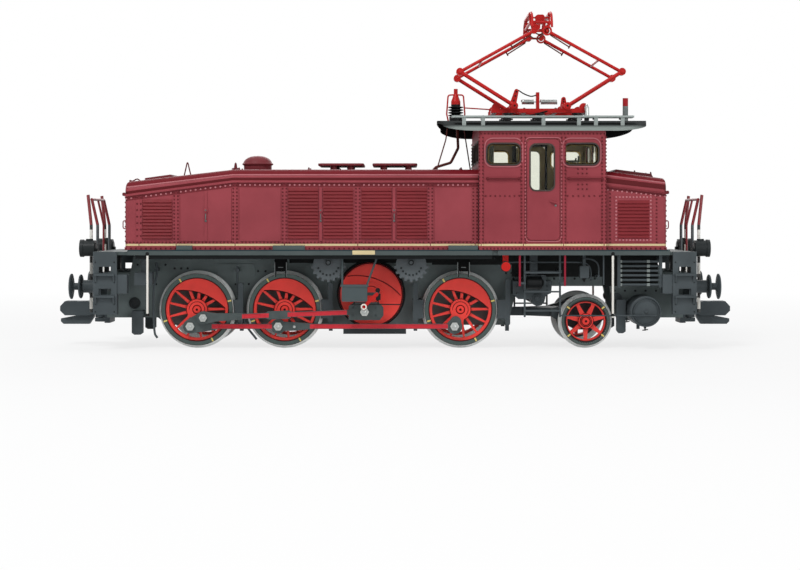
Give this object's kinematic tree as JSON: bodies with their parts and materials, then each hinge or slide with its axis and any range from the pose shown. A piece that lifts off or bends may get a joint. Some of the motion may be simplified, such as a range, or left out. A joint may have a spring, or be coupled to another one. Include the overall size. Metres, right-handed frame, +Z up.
{
  "type": "model electric locomotive",
  "caption": "Gauge 1 model of an electric shunting locomotive with side rods, a jackshaft, a pilot truck, a cab near one end, two hoods and a diamond pantograph on the roof.",
  "frame": {"origin": "bottom centre of the bounding box, on the plane that the wheel flanges stand on", "axes": "+X towards the cab end, +Y towards the left side, +Z up"},
  "size_m": [0.3672, 0.0932, 0.181],
  "materials": {
    "body_red": "satin wine red",
    "chassis_black": "satin black-grey",
    "glass": "clear",
    "insulator": "black, glossy",
    "interior": "cream",
    "louvre_red": "satin wine red, shaded",
    "motor": "plain",
    "pan_red": "bright red",
    "pole_white": "white with black bands",
    "rod_paint": "dark grey ends, red flutes",
    "roof_grey": "matt grey",
    "spring_steel": "bright wire",
    "tyre_steel": "bright tread, dark sides",
    "wheel_red": "semi-gloss signal red"
  },
  "bodies": {
    "chassis": {"air_tanks": "chassis_black", "arrester": "pan_red", "brake_rigging": "chassis_black", "buffer_beams": "chassis_black", "buffers": "chassis_black", "cab_glass": "glass", "cab_ladders": "chassis_black", "cab_roof": "roof_grey", "cab_walls": "body_red", "control_desk": "interior", "cooling_pipes": "chassis_black", "corner_steps": "chassis_black", "end_platforms": "chassis_black", "end_railings": "chassis_black", "equipment_boxes": "chassis_black", "footplate": "chassis_black", "gear_housings": "chassis_black", "hand_poles": "pole_white", "hood_fittings": "body_red", "hood_louvres": "louvre_red", "lanterns": "chassis_black", "long_hood": "body_red", "lubricators": "chassis_black", "main_frame": "chassis_black", "motor_block": "motor", "pantograph_base": "pan_red", "pantograph_insulators": "insulator", "pantograph_springs": "spring_steel", "rail_guards": "chassis_black", "roof_leads": "pan_red", "roof_post": "roof_grey", "roof_walkways": "roof_grey", "short_hood": "body_red", "side_valves": "pan_red", "spring_brackets": "chassis_black"},
    "wheelset_1": {"wheel_centres_1": "wheel_red", "wheel_tyres_1": "tyre_steel"},
    "wheelset_2": {"wheel_centres_2": "wheel_red", "wheel_tyres_2": "tyre_steel"},
    "wheelset_3": {"wheel_centres_3": "wheel_red", "wheel_tyres_3": "tyre_steel"},
    "pilot_wheelset": {"pilot_wheel_centres": "wheel_red", "pilot_wheel_tyres": "tyre_steel"},
    "jackshaft": {"jackshaft": "wheel_red"},
    "rods_right": {"coupling_rod_right": "rod_paint", "drive_rod_right": "rod_paint"},
    "rods_left": {"coupling_rod_left": "rod_paint", "drive_rod_left": "rod_paint"},
    "pony_truck": {"pony_truck": "chassis_black"},
    "door_right": {"door_right": "body_red", "door_glass_right": "glass"},
    "door_left": {"door_left": "body_red", "door_glass_left": "glass"},
    "pantograph_lower_rear": {"pantograph_lower_arm_rear": "pan_red"},
    "pantograph_lower_front": {"pantograph_lower_arm_front": "pan_red"},
    "pantograph_upper_rear": {"pantograph_upper_arm_rear": "pan_red"},
    "pantograph_upper_front": {"pantograph_upper_arm_front": "pan_red"},
    "pantograph_head": {"pantograph_head": "pan_red"},
    "coupler_front": {"coupler_front": "chassis_black"},
    "coupler_rear": {"coupler_rear": "chassis_black"}
  },
  "joints": [
    {"name": "wheelset_1_spin", "type": "hinge", "parent": "chassis", "child": "wheelset_1", "pos_m": [-0.1059, 0, 0.02078], "axis": [0, 1, 0], "continuous": true},
    {"name": "wheelset_2_spin", "type": "hinge", "parent": "chassis", "child": "wheelset_2", "pos_m": [-0.059, 0, 0.02078], "axis": [0, 1, 0], "continuous": true},
    {"name": "wheelset_3_spin", "type": "hinge", "parent": "chassis", "child": "wheelset_3", "pos_m": [0.035, 0, 0.02078], "axis": [0, 1, 0], "continuous": true},
    {"name": "jackshaft_spin", "type": "hinge", "parent": "chassis", "child": "jackshaft", "pos_m": [-0.0129, 0, 0.0287], "axis": [0, 1, 0], "continuous": true},
    {"name": "rods_right_crank", "type": "hinge", "parent": "wheelset_1", "child": "rods_right", "pos_m": [-0.10911, 0, 0.01197], "axis": [0, 1, 0], "continuous": true},
    {"name": "rods_left_crank", "type": "hinge", "parent": "wheelset_1", "child": "rods_left", "pos_m": [-0.09709, 0, 0.01757], "axis": [0, 1, 0], "continuous": true},
    {"name": "pony_truck_swing", "type": "hinge", "parent": "chassis", "child": "pony_truck", "pos_m": [0.0575, 0, 0.0186], "axis": [0, 0, 1], "range_deg": [-4, 4]},
    {"name": "pilot_wheelset_spin", "type": "hinge", "parent": "pony_truck", "child": "pilot_wheelset", "pos_m": [0.1021, 0, 0.01453], "axis": [0, 1, 0], "continuous": true},
    {"name": "door_right_hinge", "type": "hinge", "parent": "chassis", "child": "door_right", "pos_m": [0.06985, -0.04335, 0.0845], "axis": [0, 0, 1], "range_deg": [0, 85]},
    {"name": "door_left_hinge", "type": "hinge", "parent": "chassis", "child": "door_left", "pos_m": [0.06985, 0.04335, 0.0845], "axis": [0, 0, -1], "range_deg": [0, 85]},
    {"name": "pantograph_raise", "type": "hinge", "parent": "chassis", "child": "pantograph_lower_rear", "pos_m": [0.0642, 0, 0.13], "axis": [0, 1, 0], "range_deg": [-25, 16]},
    {"name": "pantograph_lower_front_pivot", "type": "hinge", "parent": "chassis", "child": "pantograph_lower_front", "pos_m": [0.0927, 0, 0.13], "axis": [0, -1, 0], "range_deg": [-25, 16]},
    {"name": "pantograph_upper_rear_knee", "type": "hinge", "parent": "pantograph_lower_rear", "child": "pantograph_upper_rear", "pos_m": [0.0349, 0, 0.1484], "axis": [0, -1, 0], "range_deg": [-44.5, 28.48]},
    {"name": "pantograph_upper_front_knee", "type": "hinge", "parent": "pantograph_lower_front", "child": "pantograph_upper_front", "pos_m": [0.122, 0, 0.1484], "axis": [0, 1, 0], "range_deg": [-44.5, 28.48]},
    {"name": "pantograph_head_pivot", "type": "hinge", "parent": "pantograph_upper_rear", "child": "pantograph_head", "pos_m": [0.07495, 0, 0.1706], "axis": [0, 1, 0], "range_deg": [-19.5, 12.48]},
    {"name": "coupler_front_swing", "type": "hinge", "parent": "chassis", "child": "coupler_front", "pos_m": [0.162, 0, 0.0197], "axis": [0, 0, 1], "range_deg": [-12, 12]},
    {"name": "coupler_rear_swing", "type": "hinge", "parent": "chassis", "child": "coupler_rear", "pos_m": [-0.162, 0, 0.0197], "axis": [0, 0, 1], "range_deg": [-12, 12]}
  ],
  "couplings": [
    {"joint": "wheelset_2_spin", "follows": "wheelset_1_spin", "ratio": 1},
    {"joint": "wheelset_3_spin", "follows": "wheelset_1_spin", "ratio": 1},
    {"joint": "jackshaft_spin", "follows": "wheelset_1_spin", "ratio": 1},
    {"joint": "rods_right_crank", "follows": "wheelset_1_spin", "ratio": -1},
    {"joint": "rods_left_crank", "follows": "wheelset_1_spin", "ratio": -1},
    {"joint": "pantograph_lower_front_pivot", "follows": "pantograph_raise", "ratio": 1},
    {"joint": "pantograph_upper_rear_knee", "follows": "pantograph_raise", "ratio": 1.78},
    {"joint": "pantograph_upper_front_knee", "follows": "pantograph_raise", "ratio": 1.78},
    {"joint": "pantograph_head_pivot", "follows": "pantograph_raise", "ratio": 0.78}
  ]
}
